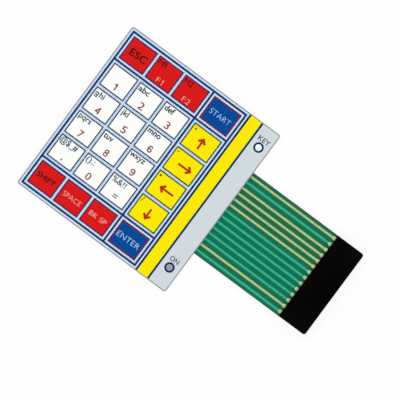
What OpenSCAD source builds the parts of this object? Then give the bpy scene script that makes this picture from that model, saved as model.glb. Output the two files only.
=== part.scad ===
// Membrane keypad: a laminated panel of films with embossed keys over snap domes, a matrix circuit
// on a flexible film, and a flat tail that ends in a crimped socket connector.
// The panel lies on its back: the origin is the centre of its rear face, +X runs to the tail, and +Z
// points out of the keys.

/* [Keys] */
// Width of a key over its printed outline
key_w = 10.85; // [9.5:0.05:14]
// Width of the keys in the last column over their outline
wide_key_w = 12.25; // [9.5:0.05:18]
// Height of a key over its printed outline
key_h = 9.8; // [9.2:0.05:14]
// Clear gap between two neighbouring keys
key_gap = 0.85; // [0.6:0.05:2]
// Width of the printed outline of a key
key_outline_w = 0.5; // [0.2:0.02:1]
// Height that the keys are embossed above the panel
key_emboss = 0.2; // [0.1:0.05:0.4]
// Width of the sloping edge of an embossed key, seen from above
emboss_slope = 0.2; // [0.1:0.05:0.28]

/* [Frame lines and edges] */
// Width of the printed lines that frame the groups of keys
frame_line_w = 0.76; // [0.3:0.02:1.5]
// Clear gap between a frame line and what lies beside it
frame_gap = 0.705; // [0.4:0.005:2]
// Clear gap between the outer frame lines and the panel's edge
edge_margin = 1.075; // [0.8:0.005:4]
// Width of the thin line printed round the panel's edge
border_w = 0.4; // [0.2:0.05:0.7]
// Radius of the panel's corners
corner_r = 1.0; // [0.8:0.1:1.6]

/* [Stripe and lamp strip] */
// Clear gap between the last frame line and the stripe's edge line
stripe_gap = 0.59; // [0.4:0.01:2]
// Width of the coloured stripe between its two edge lines
stripe_w = 4.52; // [3:0.02:10]
// Width of the stripe's edge lines
stripe_line_w = 0.78; // [0.3:0.02:1]
// Width of the lamp strip beside the stripe
lamp_strip_w = 7.655; // [7:0.005:14]
// Distance from the tail edge of the panel to the centres of the lamps
lamp_edge_dist = 4.05; // [3.2:0.05:4.6]
// Distance from the ends of the panel to the centres of the lamps
lamp_end_dist = 8.25; // [4:0.05:12]
// Outer diameter of the printed ring round a lamp window
lamp_ring_d = 3.87; // [3:0.01:5]
// Width of that ring
lamp_ring_w = 0.72; // [0.3:0.02:0.8]

/* [Layers] */
// Thickness of the release liner
liner_t = 0.12; // [0.08:0.01:0.3]
// Thickness of the rear adhesive
rear_adhesive_t = 0.13; // [0.05:0.01:0.3]
// Thickness of the flexible circuit film
circuit_t = 0.25; // [0.18:0.01:0.4]
// Thickness of the dome spacer
spacer_t = 0.5; // [0.4:0.05:0.8]
// Thickness of the dome retainer film
retainer_t = 0.1; // [0.05:0.01:0.2]
// Thickness of the graphic overlay film
overlay_t = 0.25; // [0.15:0.01:0.4]
// Thickness of a layer of printing ink
print_t = 0.04; // [0.02:0.01:0.08]

/* [Switches] */
// Diameter of a snap dome over its feet
dome_d = 7.0; // [5:0.1:8]
// Thickness of a snap dome's sheet metal
dome_t = 0.06; // [0.04:0.01:0.1]
// Depth of the four trims between a snap dome's feet
dome_trim = 0.7; // [0.3:0.1:1]
// Radius of those trims
dome_trim_r = 2.6; // [2:0.1:4]
// Room above a snap dome, up to the retainer film
dome_headroom = 0.05; // [0.02:0.01:0.15]
// Room round a snap dome in its pocket
dome_clearance = 0.25; // [0.1:0.05:0.4]
// Width of the contact ring under the feet of a snap dome
contact_ring_w = 0.8; // [0.4:0.1:1.2]
// Diameter of the contact pad under the middle of a snap dome
contact_pad_d = 2.4; // [1:0.1:2.5]
// Width of the air channels between the dome pockets
vent_w = 1.0; // [0.4:0.1:2]

/* [Lamps] */
// Length of a lamp's base, across its two terminals
lamp_l = 1.6; // [1.4:0.1:2.2]
// Width of a lamp's base
lamp_w = 0.8; // [0.5:0.1:1]
// Thickness of a lamp's base
lamp_base_t = 0.2; // [0.1:0.05:0.3]
// Length of a lamp's lens
lamp_lens_l = 1.1; // [0.6:0.1:1.3]
// Length of the pad under each of a lamp's terminals
lamp_pad_l = 0.6; // [0.4:0.05:0.65]
// Length of that pad that shows beside the lamp's base
lamp_pad_overhang = 0.1; // [0:0.05:0.2]
// Diameter of the light hole over a lamp
lamp_hole_d = 2.6; // [2.5:0.1:3]

/* [Circuit] */
// Distance between the lines on the tail
line_pitch = 2.54; // [2.2:0.02:3]
// Width of a line on the tail
line_w = 0.85; // [0.6:0.05:0.9]
// Width of a line inside the panel
trace_w = 0.4; // [0.2:0.05:0.6]
// Distance between the lines where they run side by side inside the panel
trace_pitch = 0.9; // [0.8:0.05:1]
// Depth of the conductors in the film
conductor_t = 0.05; // [0.03:0.01:0.07]
// Height that the coated lines stand out of the tail
line_rise = 0.03; // [0.01:0.01:0.06]
// Diameter of the plated holes that join both sides of the film
via_d = 0.5; // [0.3:0.05:0.7]
// Distance from the tail edge of the panel to the plated holes of the tail's lines
via_edge_dist = 1.2; // [0.8:0.1:2]

/* [Tail] */
// Length of tail between the panel and the connector
tail_l = 38.25; // [20:0.25:80]
// Sideways offset of the tail from the middle of the panel
tail_y = 0.5; // [-2:0.1:2]
// Straight stretch of tail at each of its ends
tail_lead = 4; // [2:0.5:8]

/* [Connector] */
// Depth of the connector housing along the tail
housing_l = 11.8; // [11:0.1:16]
// Height of the connector housing
housing_h = 2.8; // [2.6:0.1:4]
// Radius of the two far corners of the housing
housing_corner_r = 1.0; // [0.4:0.1:1.5]
// Side walls of the housing beside the film
housing_side = 0.75; // [0.5:0.05:1.5]
// Front wall of the housing
housing_front = 0.8; // [0.5:0.1:1.5]
// Length of film that reaches into the housing
tongue_l = 4; // [3:0.1:5]
// Film past the ends of the lines
line_end_margin = 0.2; // [0.1:0.05:0.4]
// Film past the ends of the crimps
crimp_end_margin = 0.4; // [0.2:0.05:0.6]
// Room between the end of the film and the contacts' cavities
cavity_margin = 0.3; // [0.1:0.05:0.5]
// Film beside the outer crimps
tongue_margin = 0.19; // [0.1:0.01:0.6]
// Width and height of a contact's socket
socket_w = 1.8; // [1.4:0.05:2]
// Sheet thickness of a contact
contact_t = 0.2; // [0.1:0.05:0.25]
// Width of a contact's crimp
crimp_w = 1.4; // [1.35:0.05:1.6]
// Length of crimp that shows outside the housing
crimp_show = 1.3; // [0.5:0.1:2]
// Length of a crimp's claws along the tail
claw_l = 1.6; // [0.8:0.1:2.4]
// Width of the opening for a pin in the front wall
pin_mouth = 0.9; // [0.7:0.05:1.1]
// Width and depth of the sloping lead-in round that opening
mouth_lead = 0.3; // [0.1:0.05:0.4]
// Room round the contacts and the film inside the housing
contact_clearance = 0.05; // [0.03:0.01:0.08]
// Length of the windows in the underside where the contacts latch
latch_l = 2.4; // [1.5:0.1:3]
// Width of those windows
latch_w = 1.2; // [0.8:0.1:1.3]
// Room round a contact's latch in its window
latch_room = 0.2; // [0.1:0.05:0.3]

/* [Hidden] */
$fn = 64;
// Overrun of a cutting shape past the face that it cuts
cut = 0.02;

// Grid of keys: columns from the left, rows from the top
cols = 4;
rows = 6;
wide_gap = 2 * frame_gap + frame_line_w;
col_w = [key_w, key_w, key_w, wide_key_w];
col_gap = [0, key_gap, key_gap, wide_gap];
row_gap = [0, wide_gap, key_gap, key_gap, key_gap, wide_gap];
function total(list, n) = n == 0 ? 0 : list[n - 1] + total(list, n - 1);

// Panel size, from what is printed on it
keys_w = total(col_w, cols) + total(col_gap, cols);
keys_h = rows * key_h + total(row_gap, rows);
key_inset = edge_margin + frame_line_w + frame_gap;
stripe_band_w = stripe_w + 2 * stripe_line_w;
keys_to_stripe = frame_gap + frame_line_w + stripe_gap;
panel_w = key_inset + keys_w + keys_to_stripe + stripe_band_w + lamp_strip_w;
panel_h = keys_h + 2 * key_inset;
panel_right = panel_w / 2;

// Middle of the key in column c and row r
function col_left(c) = -panel_w / 2 + key_inset + total(col_w, c) + total(col_gap, c + 1);
function key_x(c) = col_left(c) + col_w[c] / 2;
function key_y(r) = keys_h / 2 - (r + 0.5) * key_h - total(row_gap, r + 1);
number_cols = [0 : cols - 2];
number_rows = [1 : rows - 2];
end_rows = [0, rows - 1];
last_col = cols - 1;

// Middles of the frame lines
frame_off = frame_gap + frame_line_w / 2;
keys_right = col_left(last_col) + wide_key_w;
frame_xs = [col_left(0) - frame_off, col_left(last_col) - frame_off, keys_right + frame_off];
frame_end_y = keys_h / 2 + frame_off;
frame_inner_y = key_y(0) - key_h / 2 - frame_off;
frame_ys = [frame_end_y, frame_inner_y, -frame_inner_y, -frame_end_y];

// Left edges of the stripe, its lines and the lamp strip
stripe_band_x = keys_right + keys_to_stripe;
stripe_x = stripe_band_x + stripe_line_w;
lamp_strip_x = stripe_band_x + stripe_band_w;
lamp_x = panel_right - lamp_edge_dist;
lamp_ys = [panel_h / 2 - lamp_end_dist, lamp_end_dist - panel_h / 2];

// Levels of the layers, from the rear face up
rear_adhesive_z = liner_t;
circuit_z = rear_adhesive_z + rear_adhesive_t;
circuit_top = circuit_z + circuit_t;
spacer_top = circuit_top + spacer_t;
overlay_z = spacer_top + retainer_t;
overlay_top = overlay_z + overlay_t;
key_top = overlay_top + key_emboss;

// Snap domes: a cap of a sphere
dome_h = spacer_t - dome_headroom;
dome_r = dome_d / 2;
dome_sphere_r = (dome_r * dome_r + dome_h * dome_h) / (2 * dome_h);
dome_arc_fn = 720;

// Lines of the tail, counted from the first lamp's side, that each row, column and lamp terminal takes
row_lines = [1, 3, 4, 5, 6, 13];
column_lines = [11, 10, 9, 8];
lamp_lines = [[7, 2], [12, 14]];
lines = rows + cols + 2 * len(lamp_lines);
function line_y(i) = tail_y + ((lines + 1) / 2 - i) * line_pitch;
via_x = panel_right - via_edge_dist;
lamp_pad_off = (lamp_l - lamp_pad_l) / 2 + lamp_pad_overhang;
// Lanes under the stripe, where the lines cross from their key rows to their places on the tail
function lane_x(i) = stripe_band_x + (i + 0.5) * trace_pitch;

// Film in the housing, and the tail, which is as wide as the housing over its side walls
tongue_w = (lines - 1) * line_pitch + crimp_w + 2 * tongue_margin;
tail_w = tongue_w + 2 * (contact_clearance + housing_side);

// Course of the tail: level with the circuit at the panel and with the middle of the housing at its end
housing_x = panel_right + tail_l;
housing_end_x = housing_x + housing_l;
tail_z0 = circuit_z + circuit_t / 2;
tail_z1 = housing_h / 2;
bend_x0 = panel_right + tail_lead;
bend_x1 = housing_x - tail_lead;
bend_steps = 10;
function bend_share(x) = (1 - cos(180 * min(max((x - bend_x0) / (bend_x1 - bend_x0), 0), 1))) / 2;
function tail_z(x) = tail_z0 + (tail_z1 - tail_z0) * bend_share(x);
bend_xs = [for (i = [0 : bend_steps]) bend_x0 + (bend_x1 - bend_x0) * i / bend_steps];

// Inside of the connector
tongue_end_x = housing_x + tongue_l;
cavity_x = tongue_end_x + cavity_margin;
cavity_w = socket_w + 2 * contact_clearance;
cavity_end_x = housing_end_x - housing_front;
socket_x = cavity_x + contact_clearance;
socket_end_x = cavity_end_x - contact_clearance;
crimp_x = housing_x - crimp_show;
crimp_end_x = tongue_end_x - crimp_end_margin;
film_top = circuit_t / 2;
claw_w = min(contact_t, (crimp_w - line_w) / 2 - contact_clearance);
latch_x = (socket_x + socket_end_x) / 2;
latch_drop = (housing_h - socket_w) / 2 - latch_room;

// Colours
film_blue = [0.81, 0.89, 0.98];
navy = [0.08, 0.22, 0.43];
ink_slate = [0.24, 0.31, 0.43];
ink_white = [0.99, 0.99, 0.99];
ink_red = [0.85, 0.11, 0.10];
ink_maroon = [0.43, 0.10, 0.19];
ink_yellow = [0.99, 0.91, 0.01];
ink_blue = [0.00, 0.29, 0.62];
ink_grey = [0.82, 0.86, 0.88];
ink_dark = [0.09, 0.13, 0.22];
ink_border = [0.60, 0.62, 0.64];
window_grey = [0.62, 0.62, 0.65];
film_green = [0.05, 0.45, 0.33];
coat_green = [0.24, 0.67, 0.53];
plated = [0.84, 0.86, 0.65];
housing_black = [0.03, 0.03, 0.03];
liner_white = [0.93, 0.92, 0.86];
glue_clear = [0.88, 0.88, 0.80];
spacer_white = [0.86, 0.87, 0.87];
steel = [0.75, 0.76, 0.78];
lamp_ceramic = [0.93, 0.93, 0.90];

// Outline of the panel, drawn in from its edge by inset
module panel_outline(inset = 0) {
    r = corner_r - inset;
    w = panel_w - 2 * inset;
    h = panel_h - 2 * inset;
    square([w - 2 * r, h], center = true);
    square([w, h - 2 * r], center = true);
    for (x = [-1, 1], y = [-1, 1])
        translate([x * (w / 2 - r), y * (h / 2 - r)]) circle(r);
}

// One layer of the panel
module sheet(z, t) {
    translate([0, 0, z]) linear_extrude(t) panel_outline();
}

// A printed field: a flat shape, one layer of ink thick
module ink(z) {
    translate([0, 0, z]) linear_extrude(print_t) children();
}

// Area of the key in column c and row r, drawn in from its edge by inset
module key_area(c, r, inset = 0) {
    translate([key_x(c), key_y(r)])
        square([col_w[c] - 2 * inset, key_h - 2 * inset], center = true);
}

// Outline of the key in column c and row r
module key_ring(c, r) {
    difference() {
        key_area(c, r);
        key_area(c, r, key_outline_w);
    }
}

// Upright bar of the panel between two places along X, inside the border line
module panel_band(x0, x1) {
    intersection() {
        panel_outline(border_w);
        translate([x0, -panel_h / 2]) square([x1 - x0, panel_h]);
    }
}

// Straight lines of width w through a list of points, each square-ended, on the level z with thickness t
module wire(points, z, t, w = trace_w) {
    for (i = [0 : len(points) - 2]) {
        a = points[i];
        b = points[i + 1];
        translate([min(a.x, b.x) - w / 2, min(a.y, b.y) - w / 2, z])
            cube([abs(a.x - b.x) + w, abs(a.y - b.y) + w, t]);
    }
}

// Lines on the two sides of the film, flush with its face
module top_wire(points) {
    wire(points, circuit_top - conductor_t, conductor_t);
}
module rear_wire(points) {
    wire(points, circuit_z, conductor_t);
}
module via(x, y) {
    translate([x, y, circuit_z]) cylinder(d = via_d, h = circuit_t);
}

// Band of the tail's film between the levels lo and hi, measured from the middle of the film
module tail_band(x0, x1, y, w, lo, hi) {
    xs = concat([x0], bend_xs, [x1]);
    upper = [for (x = xs) [x, tail_z(x) + hi]];
    lower = [for (i = [len(xs) - 1 : -1 : 0]) [xs[i], tail_z(xs[i]) + lo]];
    translate([0, y + w / 2, 0]) rotate([90, 0, 0]) linear_extrude(w) polygon(concat(upper, lower));
}

// One line of the tail, from the panel's edge to the end of the film
module tail_line(i) {
    y = line_y(i);
    end_x = tongue_end_x - line_end_margin;
    tail_band(panel_right, end_x, y, line_w, film_top - conductor_t, film_top + line_rise);
    top_wire([[via_x, y], [panel_right + trace_w / 2, y]]);
}

// Line r: four contact rings, the wire that joins them, and its line on the tail
module row_conductor(r) {
    ring_d = dome_d + contact_ring_w / 2;
    y = key_y(r);
    end_y = line_y(row_lines[r]);
    difference() {
        top_wire([[key_x(0), y], [lane_x(r), y], [lane_x(r), end_y], [via_x, end_y]]);
        for (c = [0 : last_col])
            translate([key_x(c), y, circuit_z]) cylinder(d = ring_d - contact_ring_w, h = 2 * circuit_t);
    }
    for (c = [0 : last_col])
        translate([key_x(c), y, circuit_top - conductor_t]) linear_extrude(conductor_t) difference() {
            circle(d = ring_d);
            circle(d = ring_d - 2 * contact_ring_w);
        }
    tail_line(row_lines[r]);
}

// Column c: six contact pads, their plated holes, the wire behind the film, and its line on the tail
module column_conductor(c) {
    x = key_x(c);
    exit_y = key_y(rows - 1) - (cols - c) * trace_pitch;
    lane = lane_x(last_col - c);
    end_y = line_y(column_lines[c]);
    for (r = [0 : rows - 1]) {
        translate([x, key_y(r), circuit_top - conductor_t]) cylinder(d = contact_pad_d, h = conductor_t);
        via(x, key_y(r));
    }
    rear_wire([[x, key_y(0)], [x, exit_y], [lane, exit_y], [lane, end_y], [via_x, end_y]]);
    via(via_x, end_y);
    tail_line(column_lines[c]);
}

// Line of one lamp terminal: its pad, a plated hole, the wire behind the film, and its line on the tail
module lamp_conductor(lamp, side) {
    x = lamp_x + (2 * side - 1) * lamp_pad_off;
    y = lamp_ys[lamp];
    end_y = line_y(lamp_lines[lamp][side]);
    translate([x - lamp_pad_l / 2, y - lamp_w / 2, circuit_top - conductor_t])
        cube([lamp_pad_l, lamp_w, conductor_t]);
    via(x, y);
    rear_wire([[x, y], [x, end_y], [via_x, end_y]]);
    via(via_x, end_y);
    tail_line(lamp_lines[lamp][side]);
}

// All conductors that lie in the film
module conductors() {
    for (r = [0 : rows - 1]) row_conductor(r);
    for (c = [0 : last_col]) column_conductor(c);
    for (lamp = [0, 1], side = [0, 1]) lamp_conductor(lamp, side);
}

// The two claws of the crimp on line i, through the film
module claws(i) {
    x = (crimp_x + crimp_end_x - claw_l) / 2;
    for (side = [0, 1])
        translate([x, line_y(i) - crimp_w / 2 + side * (crimp_w - claw_w), tail_z1 - film_top])
            cube([claw_l, claw_w, circuit_t + line_rise]);
}

// Pad of w by h on top, with sides that slope out by slope over its height
module sloped_pad(w, h, height, slope) {
    module section(top) {
        polygon([[-top / 2 - slope, 0], [top / 2 + slope, 0], [top / 2, height], [-top / 2, height]]);
    }
    intersection() {
        rotate([90, 0, 0]) linear_extrude(h + 2 * slope, center = true) section(w);
        rotate([90, 0, 90]) linear_extrude(w + 2 * slope, center = true) section(h);
    }
}

// Raised area of the embossed key in column c and row r, above the level z
module emboss(c, r, z) {
    translate([key_x(c), key_y(r), z]) sloped_pad(col_w[c], key_h, key_emboss, emboss_slope);
}

// Places of every key and every dome
module at_keys() {
    for (c = [0 : last_col], r = [0 : rows - 1])
        translate([key_x(c), key_y(r)]) children();
}

// Places of both lamps
module at_lamps() {
    for (y = lamp_ys)
        translate([lamp_x, y]) children();
}

module release_liner() color(liner_white) sheet(0, liner_t);

module rear_adhesive() color(glue_clear) sheet(rear_adhesive_z, rear_adhesive_t);

module flex_circuit() color(film_green)
    difference() {
        union() {
            sheet(circuit_z, circuit_t);
            tail_band(panel_right - corner_r, housing_x, tail_y, tail_w, -film_top, film_top);
            translate([housing_x - tail_lead / 2, tail_y - tongue_w / 2, tail_z1 - film_top])
                cube([tongue_l + tail_lead / 2, tongue_w, circuit_t]);
        }
        conductors();
        for (i = [1 : lines]) claws(i);
    }

module row_conductors() color(plated)
    for (r = [0 : rows - 1]) row_conductor(r);

module column_conductors() color(coat_green)
    for (c = [0 : last_col]) column_conductor(c);

module lamp_conductors() color(coat_green)
    for (lamp = [0, 1], side = [0, 1]) lamp_conductor(lamp, side);

module dome_spacer() color(spacer_white)
    translate([0, 0, circuit_top]) linear_extrude(spacer_t) difference() {
        panel_outline();
        at_keys() circle(d = dome_d + 2 * dome_clearance);
        at_lamps() circle(d = lamp_hole_d);
        for (r = [0 : rows - 1])
            translate([key_x(0), key_y(r) - vent_w / 2]) square([key_x(last_col) - key_x(0), vent_w]);
        translate([key_x(0) - vent_w / 2, key_y(rows - 1)]) square([vent_w, key_y(0) - key_y(rows - 1)]);
    }

// Plan of a snap dome: a disc with four trims that leave four feet
module dome_plan() {
    difference() {
        circle(dome_r);
        for (a = [0 : 90 : 270])
            rotate(a) translate([dome_r - dome_trim + dome_trim_r, 0]) circle(dome_trim_r);
    }
}

// Section of a snap dome from its middle to its rim
module dome_section() {
    intersection() {
        translate([0, dome_h - dome_sphere_r]) difference() {
            circle(dome_sphere_r, $fn = dome_arc_fn);
            circle(dome_sphere_r - dome_t, $fn = dome_arc_fn);
        }
        square([dome_r, dome_h]);
    }
}

module snap_domes() color(steel)
    translate([0, 0, circuit_top]) at_keys() intersection() {
        rotate_extrude() dome_section();
        linear_extrude(spacer_t) dome_plan();
    }

module lamp_bases() color(lamp_ceramic)
    at_lamps() translate([-lamp_l / 2, -lamp_w / 2, circuit_top]) cube([lamp_l, lamp_w, lamp_base_t]);

module lamp_lenses() color(ink_white)
    at_lamps() translate([-lamp_lens_l / 2, -lamp_w / 2, circuit_top + lamp_base_t])
        cube([lamp_lens_l, lamp_w, spacer_t - lamp_base_t]);

module dome_retainer() color(glue_clear)
    translate([0, 0, spacer_top]) linear_extrude(retainer_t) difference() {
        panel_outline();
        at_lamps() circle(d = lamp_hole_d);
    }

module graphic_overlay() color(film_blue)
    difference() {
        union() {
            sheet(overlay_z, overlay_t);
            for (c = [0 : last_col], r = [0 : rows - 1]) emboss(c, r, overlay_top);
        }
        for (c = [0 : last_col], r = [0 : rows - 1]) emboss(c, r, overlay_z);
    }

module white_key_print() color(ink_white)
    ink(key_top) for (c = number_cols, r = number_rows) key_area(c, r, key_outline_w);

module red_key_print() color(ink_red)
    ink(key_top) for (c = number_cols, r = end_rows) key_area(c, r, key_outline_w);

module yellow_key_print() color(ink_yellow)
    ink(key_top) for (r = number_rows) key_area(last_col, r, key_outline_w);

module blue_key_print() color(ink_blue)
    ink(key_top) for (r = end_rows) key_area(last_col, r, key_outline_w);

module key_outline_print() color(ink_slate)
    ink(key_top) {
        for (c = number_cols, r = [0 : rows - 1]) key_ring(c, r);
        for (r = number_rows) key_ring(last_col, r);
    }

module blue_key_outline_print() color(ink_maroon)
    ink(key_top) for (r = end_rows) key_ring(last_col, r);

module frame_print() color(navy)
    ink(overlay_top) {
        for (x = frame_xs)
            translate([x - frame_line_w / 2, -frame_end_y - frame_line_w / 2])
                square([frame_line_w, 2 * frame_end_y + frame_line_w]);
        for (y = frame_ys)
            translate([frame_xs[0], y - frame_line_w / 2])
                square([frame_xs[2] - frame_xs[0], frame_line_w]);
    }

module stripe_print() color(ink_yellow)
    ink(overlay_top) panel_band(stripe_x, stripe_x + stripe_w);

module stripe_line_print() color(ink_dark)
    ink(overlay_top) {
        panel_band(stripe_band_x, stripe_x);
        panel_band(stripe_x + stripe_w, lamp_strip_x);
    }

module lamp_strip_print() color(ink_grey)
    ink(overlay_top) difference() {
        panel_band(lamp_strip_x, panel_right);
        at_lamps() circle(d = lamp_ring_d);
    }

module lamp_ring_print() color(navy)
    ink(overlay_top) at_lamps() difference() {
        circle(d = lamp_ring_d);
        circle(d = lamp_ring_d - 2 * lamp_ring_w);
    }

module lamp_window(y) {
    ink(overlay_top) translate([lamp_x, y]) circle(d = lamp_ring_d - 2 * lamp_ring_w);
}

module key_window_print() color(ink_white) lamp_window(lamp_ys[0]);

module on_window_print() color(window_grey) lamp_window(lamp_ys[1]);

module border_print() color(ink_border)
    ink(overlay_top) difference() {
        panel_outline();
        panel_outline(border_w);
    }

// Plate of a crimp, with a round end towards the panel, on the level z
module crimp_plate(y, z) {
    round_x = crimp_x + crimp_w / 2;
    translate([0, y, z]) linear_extrude(contact_t) {
        translate([round_x, 0]) circle(d = crimp_w);
        translate([round_x, -crimp_w / 2]) square([crimp_end_x - round_x, crimp_w]);
    }
}

// Contact of line i: a crimp on both faces of the film, joined by claws, and a box socket behind a neck
module crimp_contact(i) {
    y = line_y(i);
    film_z = tail_z1 - film_top;
    crimp_plate(y, film_z + circuit_t + line_rise);
    crimp_plate(y, film_z - contact_t);
    claws(i);
    translate([crimp_end_x - contact_t, y - line_w / 2, film_z - contact_t])
        cube([socket_x - crimp_end_x + 2 * contact_t, line_w, contact_t]);
    difference() {
        translate([socket_x, y - socket_w / 2, tail_z1 - socket_w / 2])
            cube([socket_end_x - socket_x, socket_w, socket_w]);
        translate([socket_x + contact_t, y - socket_w / 2 + contact_t, tail_z1 - socket_w / 2 + contact_t])
            cube([socket_end_x - socket_x, socket_w - 2 * contact_t, socket_w - 2 * contact_t]);
    }
    // Latch that springs into the window in the housing's underside
    latch_half = latch_l / 2 - latch_room;
    translate([latch_x, y, tail_z1 - socket_w / 2]) rotate([90, 0, 0])
        linear_extrude(latch_w - 2 * latch_room, center = true)
            polygon([[-latch_half, 0], [latch_half, 0], [-latch_half, -latch_drop]]);
}

module crimp_contacts() color(plated)
    for (i = [1 : lines]) crimp_contact(i);

module connector_housing() color(housing_black)
    difference() {
        translate([housing_x, tail_y]) linear_extrude(housing_h) {
            translate([0, -tail_w / 2]) square([housing_l - housing_corner_r, tail_w]);
            translate([0, housing_corner_r - tail_w / 2])
                square([housing_l, tail_w - 2 * housing_corner_r]);
            for (side = [-1, 1])
                translate([housing_l - housing_corner_r, side * (tail_w / 2 - housing_corner_r)])
                    circle(housing_corner_r);
        }
        // Slot for the film and the crimps
        slot_w = tongue_w + 2 * contact_clearance;
        slot_lo = tail_z1 - film_top - contact_t - contact_clearance;
        slot_hi = tail_z1 + film_top + line_rise + contact_t + contact_clearance;
        translate([housing_x - cut, tail_y - slot_w / 2, slot_lo])
            cube([cavity_x - housing_x + 2 * cut, slot_w, slot_hi - slot_lo]);
        for (i = [1 : lines]) {
            translate([cavity_x, line_y(i) - cavity_w / 2, tail_z1 - cavity_w / 2])
                cube([cavity_end_x - cavity_x, cavity_w, cavity_w]);
            translate([cavity_end_x - cut, line_y(i) - pin_mouth / 2, tail_z1 - pin_mouth / 2])
                cube([housing_front + 2 * cut, pin_mouth, pin_mouth]);
            translate([housing_end_x, line_y(i), tail_z1]) rotate([0, -90, 0])
                sloped_pad(pin_mouth, pin_mouth, mouth_lead, mouth_lead);
            translate([latch_x - latch_l / 2, line_y(i) - latch_w / 2, -cut])
                cube([latch_l, latch_w, tail_z1]);
        }
    }

release_liner();
rear_adhesive();
flex_circuit();
row_conductors();
column_conductors();
lamp_conductors();
dome_spacer();
snap_domes();
lamp_bases();
lamp_lenses();
dome_retainer();
graphic_overlay();
white_key_print();
red_key_print();
yellow_key_print();
blue_key_print();
key_outline_print();
blue_key_outline_print();
frame_print();
stripe_print();
stripe_line_print();
lamp_strip_print();
lamp_ring_print();
key_window_print();
on_window_print();
border_print();
crimp_contacts();
connector_housing();
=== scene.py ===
# A membrane keypad, dressed layer by layer in the order in which the laminate is put together.
import math

import bpy
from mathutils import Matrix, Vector


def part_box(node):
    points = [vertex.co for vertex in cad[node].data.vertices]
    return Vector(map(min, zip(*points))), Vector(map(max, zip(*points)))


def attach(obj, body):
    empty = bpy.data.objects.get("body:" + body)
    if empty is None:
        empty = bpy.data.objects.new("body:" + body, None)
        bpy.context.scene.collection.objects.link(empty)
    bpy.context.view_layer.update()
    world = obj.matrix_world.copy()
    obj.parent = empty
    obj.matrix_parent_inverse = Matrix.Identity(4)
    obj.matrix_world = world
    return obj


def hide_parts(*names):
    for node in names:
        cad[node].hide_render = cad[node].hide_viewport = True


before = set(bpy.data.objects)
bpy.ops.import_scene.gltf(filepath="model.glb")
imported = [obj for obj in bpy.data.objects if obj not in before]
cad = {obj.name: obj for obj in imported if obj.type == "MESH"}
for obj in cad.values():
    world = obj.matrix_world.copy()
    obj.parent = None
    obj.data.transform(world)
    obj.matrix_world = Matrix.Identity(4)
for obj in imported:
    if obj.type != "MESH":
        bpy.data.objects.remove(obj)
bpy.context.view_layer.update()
mm = 0.001

# Camera, table and light
# The keypad lies face up on a white table and is seen from straight above, turned on the sheet. Four soft
# panels stand low round it, so the film is lit evenly and no lamp shines straight back off it.
view_width = 145.38 * mm
view_centre = Vector((23.738 * mm, -0.844 * mm, 0))
view_turn = math.radians(36.6)
camera_height = 0.5
bpy.ops.object.camera_add(location=view_centre + Vector((0, 0, camera_height)), rotation=(0, 0, view_turn))
camera = bpy.context.object
camera.name = "camera"
camera.data.type = "ORTHO"
camera.data.ortho_scale = view_width
bpy.context.scene.camera = camera
bpy.context.scene.view_settings.view_transform = "Standard"


def printed_colour(red, green, blue):
    """A colour as it is matched on the sheet, 0 to 255, in the linear light that a shader takes."""
    shares = [value / 255 for value in (red, green, blue)]
    return [s / 12.92 if s <= 0.04045 else ((s + 0.055) / 1.055) ** 2.4 for s in shares] + [1.0]


def add_node(tree, kind, **sockets):
    """A node of that kind, with the named sockets set."""
    node = tree.nodes.new(kind)
    for name, value in sockets.items():
        node.inputs[name.replace("_", " ")].default_value = value
    return node


def calculate(tree, operation, *terms):
    """The result of a math node on numbers and on the outputs of other nodes."""
    node = add_node(tree, "ShaderNodeMath")
    node.operation = operation
    for socket, term in zip(node.inputs, terms):
        if isinstance(term, bpy.types.NodeSocket):
            tree.links.new(term, socket)
        else:
            socket.default_value = term
    return node.outputs[0]


def new_finish(name, specular):
    """A material with its one shader, ready for the nodes of the finish."""
    finish = bpy.data.materials.new(name)
    finish.use_nodes = True
    shader = finish.node_tree.nodes["Principled BSDF"]
    shader.inputs["Specular IOR Level"].default_value = specular
    return finish, finish.node_tree, shader


def wear(piece, finish):
    """Gives a piece that one finish all over."""
    piece.data.materials.clear()
    piece.data.materials.append(finish)


panel_light_size = 0.6
panel_light_distance = 0.8
panel_light_tilt = math.radians(52)
panel_light_power = 2.03
for quarter in range(4):
    turn = view_turn + math.radians(45 + 90 * quarter)
    level = math.sin(panel_light_tilt)
    away = Vector((level * math.cos(turn), level * math.sin(turn), math.cos(panel_light_tilt)))
    bpy.ops.object.light_add(
        type="AREA",
        location=view_centre + away * panel_light_distance,
        rotation=(-away).to_track_quat("-Z", "Y").to_euler(),
    )
    panel_light = bpy.context.object
    panel_light.name = f"soft_panel_{quarter + 1}"
    panel_light.data.size = panel_light_size
    panel_light.data.energy = panel_light_power

# The walls of the room are white and its ceiling is dark
room = bpy.data.worlds.new("soft_room")
bpy.context.scene.world = room
room.use_nodes = True
room_tree = room.node_tree
looking = add_node(room_tree, "ShaderNodeTexCoord")
looking_up = add_node(room_tree, "ShaderNodeSeparateXYZ")
wall_top = 0.2
ceiling_edge = 0.8
ceiling_light = 0.06
room_fade = add_node(
    room_tree, "ShaderNodeMapRange",
    From_Min=wall_top, From_Max=ceiling_edge, To_Min=1.0, To_Max=ceiling_light,
)
room_tree.links.new(looking.outputs["Generated"], looking_up.inputs[0])
room_tree.links.new(looking_up.outputs["Z"], room_fade.inputs["Value"])
room_tree.links.new(room_fade.outputs["Result"], room_tree.nodes["Background"].inputs["Color"])

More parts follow.
